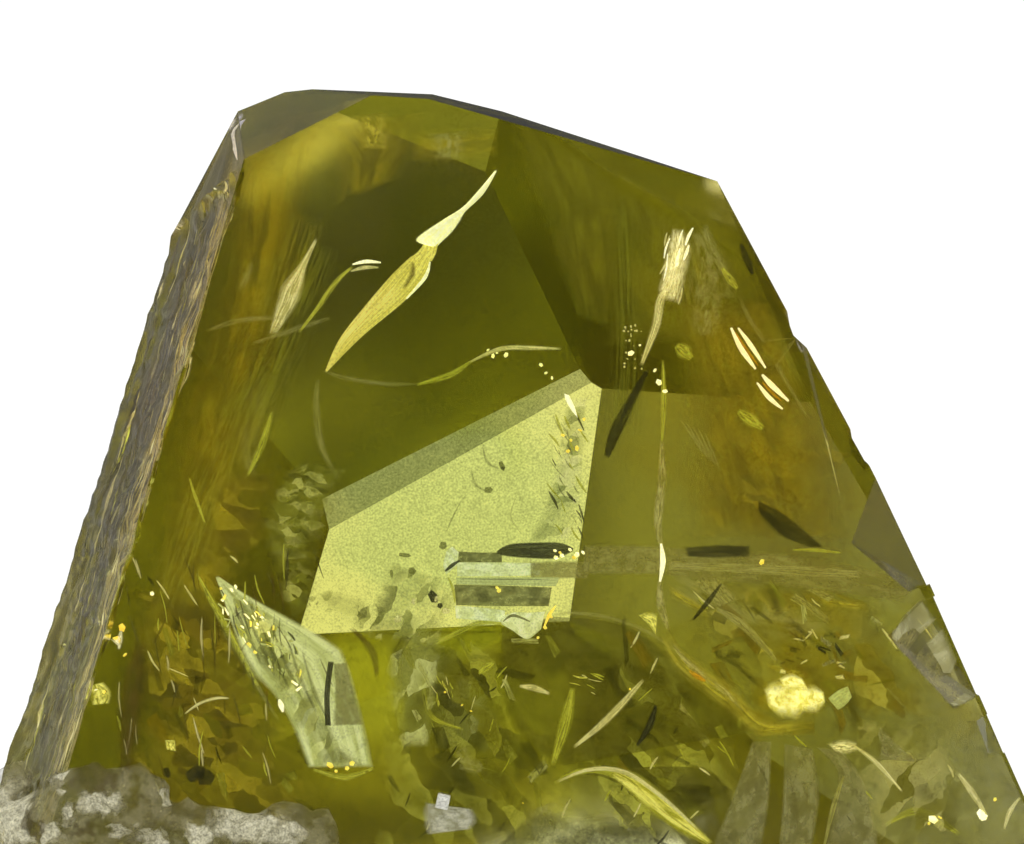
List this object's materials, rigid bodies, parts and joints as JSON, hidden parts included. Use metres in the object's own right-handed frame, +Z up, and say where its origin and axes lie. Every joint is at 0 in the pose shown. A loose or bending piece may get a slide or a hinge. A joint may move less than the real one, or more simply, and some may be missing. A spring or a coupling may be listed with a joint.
{
  "type": "titanite crystal",
  "caption": "Clear wedge-shaped gem crystal with flat facets, one etched side and pale rock grains at its foot, standing on a flat cut base.",
  "frame": {"origin": "middle of the rectangle that the specimen covers on the surface it stands on", "axes": "+X along the foot, the widest side; -Y out of the broad front face; +Z up"},
  "size_m": [0.0374, 0.0152, 0.0265],
  "materials": {
    "titanite": "clear olive-green gem with adamantine lustre, orange and brown zones, healed fractures and an etched left side",
    "feldspar": "rough pale cream rock grains with glassy cleavage faces"
  },
  "bodies": {
    "root": {"titanite_crystal": "titanite", "matrix_crust": "feldspar"}
  },
  "joints": []
}
